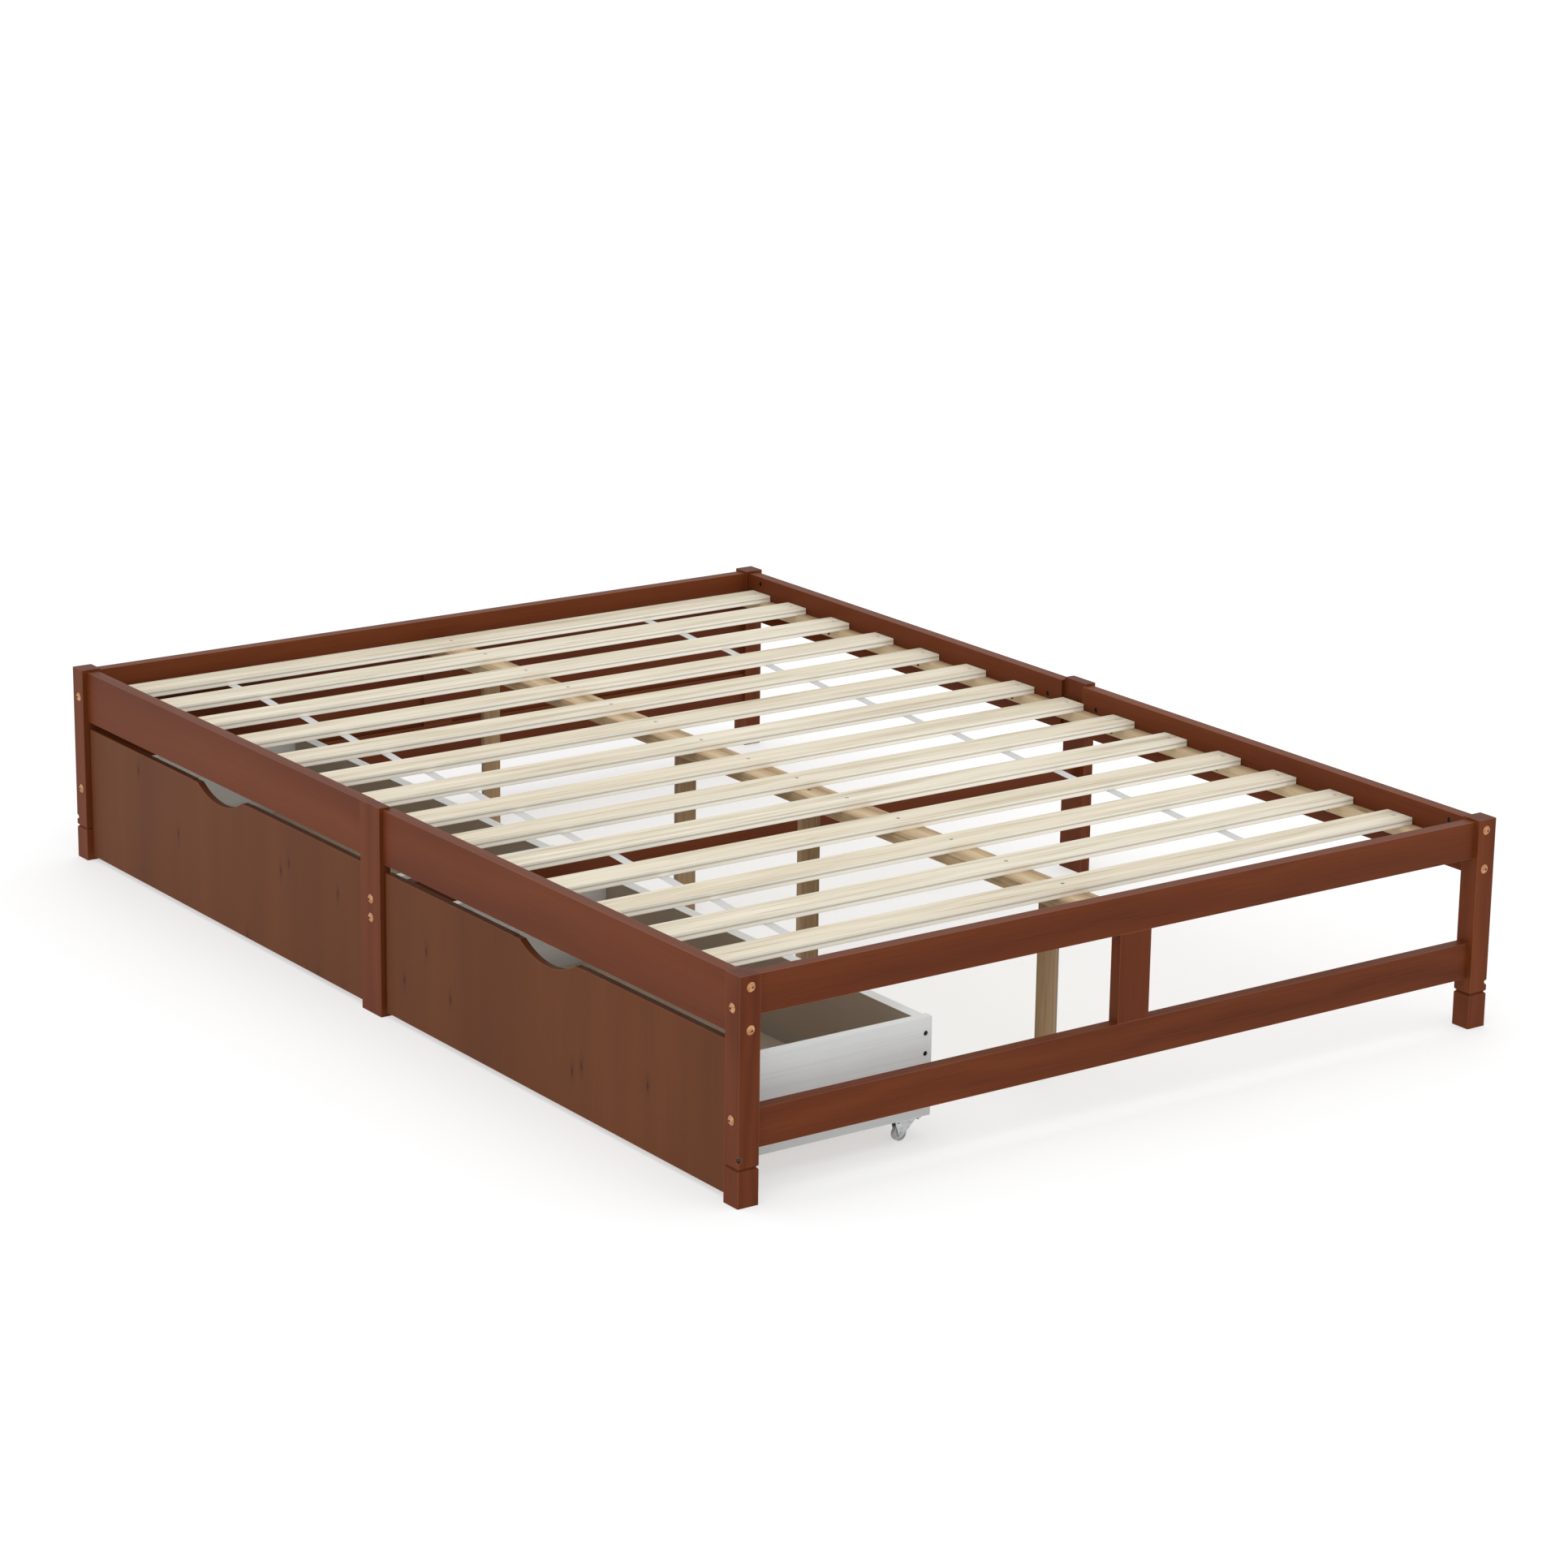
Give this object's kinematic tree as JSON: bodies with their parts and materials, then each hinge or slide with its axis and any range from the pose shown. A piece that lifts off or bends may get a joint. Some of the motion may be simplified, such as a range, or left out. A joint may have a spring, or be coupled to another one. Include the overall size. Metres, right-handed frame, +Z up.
{
  "type": "platform bed with storage drawers",
  "caption": "Low slatted platform bed in walnut-stained wood with open sides, centre beam and legs, and rolling under-bed drawers with notched fronts along one side.",
  "frame": {"origin": "on the floor, under the middle of the bed", "axes": "+X across the bed away from the drawer side, +Y along the bed from the foot end to the head end, +Z up"},
  "size_m": [1.474, 2.074, 0.35],
  "materials": {
    "walnut_stain": "walnut-stained softwood with a satin lacquer",
    "walnut_front": "walnut-stained veneer, grain running up the front",
    "raw_pine": "planed, unfinished softwood",
    "pale_slat": "laminated poplar, unfinished, with a matt face",
    "white_board": "board with a matt white foil",
    "taupe_board": "thin hardboard, brown grey",
    "beech": "fluted beech dowel",
    "webbing": "woven white polyester webbing",
    "brass_plate": "brass-plated steel, satin",
    "dark_steel": "phosphated screw steel",
    "zinc": "zinc-plated steel",
    "grey_plastic": "grey moulded plastic"
  },
  "bodies": {
    "bed_frame": {"corner_post_foot_left": "walnut_stain", "corner_post_foot_right": "walnut_stain", "corner_post_head_left": "walnut_stain", "corner_post_head_right": "walnut_stain", "foot_block_foot_left": "walnut_stain", "foot_block_foot_right": "walnut_stain", "foot_block_head_left": "walnut_stain", "foot_block_head_right": "walnut_stain", "mid_post_left": "walnut_stain", "mid_post_right": "walnut_stain", "side_rail_foot_left": "walnut_stain", "side_rail_foot_right": "walnut_stain", "side_rail_head_left": "walnut_stain", "side_rail_head_right": "walnut_stain", "foot_upper_rail": "walnut_stain", "foot_lower_rail": "walnut_stain", "foot_stile": "walnut_stain", "head_upper_rail": "walnut_stain", "head_lower_rail": "walnut_stain", "head_stile": "walnut_stain", "head_panel_left": "walnut_stain", "head_panel_right": "walnut_stain", "cross_rail": "walnut_stain", "ledger_left": "raw_pine", "ledger_right": "raw_pine", "centre_beam": "raw_pine", "centre_leg_1": "raw_pine", "centre_leg_2": "raw_pine", "centre_leg_3": "raw_pine", "centre_leg_4": "raw_pine", "slats": "pale_slat", "slat_tapes": "webbing", "frame_bolts": "brass_plate", "barrel_nuts": "brass_plate", "frame_dowels": "beech", "wood_screws": "dark_steel"},
    "foot_drawer": {"foot_drawer_front": "walnut_front", "foot_drawer_side_near": "white_board", "foot_drawer_side_far": "white_board", "foot_drawer_back": "white_board", "foot_drawer_bottom": "taupe_board", "foot_drawer_caster_brackets": "zinc", "foot_drawer_caster_axles": "zinc", "foot_drawer_fixings": "zinc"},
    "foot_drawer_caster_wheel_1": {"foot_drawer_wheel_1": "grey_plastic"},
    "foot_drawer_caster_wheel_2": {"foot_drawer_wheel_2": "grey_plastic"},
    "foot_drawer_caster_wheel_3": {"foot_drawer_wheel_3": "grey_plastic"},
    "foot_drawer_caster_wheel_4": {"foot_drawer_wheel_4": "grey_plastic"},
    "head_drawer": {"head_drawer_front": "walnut_front", "head_drawer_side_near": "white_board", "head_drawer_side_far": "white_board", "head_drawer_back": "white_board", "head_drawer_bottom": "taupe_board", "head_drawer_caster_brackets": "zinc", "head_drawer_caster_axles": "zinc", "head_drawer_fixings": "zinc"},
    "head_drawer_caster_wheel_1": {"head_drawer_wheel_1": "grey_plastic"},
    "head_drawer_caster_wheel_2": {"head_drawer_wheel_2": "grey_plastic"},
    "head_drawer_caster_wheel_3": {"head_drawer_wheel_3": "grey_plastic"},
    "head_drawer_caster_wheel_4": {"head_drawer_wheel_4": "grey_plastic"}
  },
  "joints": [
    {"name": "foot_drawer_slide", "type": "slide", "parent": "bed_frame", "child": "foot_drawer", "axis": [-1, 0, 0], "range_m": [0, 0.36]},
    {"name": "foot_drawer_wheel_1_spin", "type": "hinge", "parent": "foot_drawer", "child": "foot_drawer_caster_wheel_1", "pos_m": [-0.676, -0.934, 0.012], "axis": [0, 1, 0], "continuous": true},
    {"name": "foot_drawer_wheel_2_spin", "type": "hinge", "parent": "foot_drawer", "child": "foot_drawer_caster_wheel_2", "pos_m": [-0.372, -0.934, 0.012], "axis": [0, 1, 0], "continuous": true},
    {"name": "foot_drawer_wheel_3_spin", "type": "hinge", "parent": "foot_drawer", "child": "foot_drawer_caster_wheel_3", "pos_m": [-0.676, -0.094, 0.012], "axis": [0, 1, 0], "continuous": true},
    {"name": "foot_drawer_wheel_4_spin", "type": "hinge", "parent": "foot_drawer", "child": "foot_drawer_caster_wheel_4", "pos_m": [-0.372, -0.094, 0.012], "axis": [0, 1, 0], "continuous": true},
    {"name": "head_drawer_slide", "type": "slide", "parent": "bed_frame", "child": "head_drawer", "axis": [-1, 0, 0], "range_m": [0, 0.36]},
    {"name": "head_drawer_wheel_1_spin", "type": "hinge", "parent": "head_drawer", "child": "head_drawer_caster_wheel_1", "pos_m": [-0.676, 0.094, 0.012], "axis": [0, 1, 0], "continuous": true},
    {"name": "head_drawer_wheel_2_spin", "type": "hinge", "parent": "head_drawer", "child": "head_drawer_caster_wheel_2", "pos_m": [-0.372, 0.094, 0.012], "axis": [0, 1, 0], "continuous": true},
    {"name": "head_drawer_wheel_3_spin", "type": "hinge", "parent": "head_drawer", "child": "head_drawer_caster_wheel_3", "pos_m": [-0.676, 0.934, 0.012], "axis": [0, 1, 0], "continuous": true},
    {"name": "head_drawer_wheel_4_spin", "type": "hinge", "parent": "head_drawer", "child": "head_drawer_caster_wheel_4", "pos_m": [-0.372, 0.934, 0.012], "axis": [0, 1, 0], "continuous": true}
  ],
  "couplings": [
    {"joint": "foot_drawer_wheel_1_spin", "follows": "foot_drawer_slide", "rad_per_m": -83.333},
    {"joint": "foot_drawer_wheel_2_spin", "follows": "foot_drawer_slide", "rad_per_m": -83.333},
    {"joint": "foot_drawer_wheel_3_spin", "follows": "foot_drawer_slide", "rad_per_m": -83.333},
    {"joint": "foot_drawer_wheel_4_spin", "follows": "foot_drawer_slide", "rad_per_m": -83.333},
    {"joint": "head_drawer_wheel_1_spin", "follows": "head_drawer_slide", "rad_per_m": -83.333},
    {"joint": "head_drawer_wheel_2_spin", "follows": "head_drawer_slide", "rad_per_m": -83.333},
    {"joint": "head_drawer_wheel_3_spin", "follows": "head_drawer_slide", "rad_per_m": -83.333},
    {"joint": "head_drawer_wheel_4_spin", "follows": "head_drawer_slide", "rad_per_m": -83.333}
  ]
}
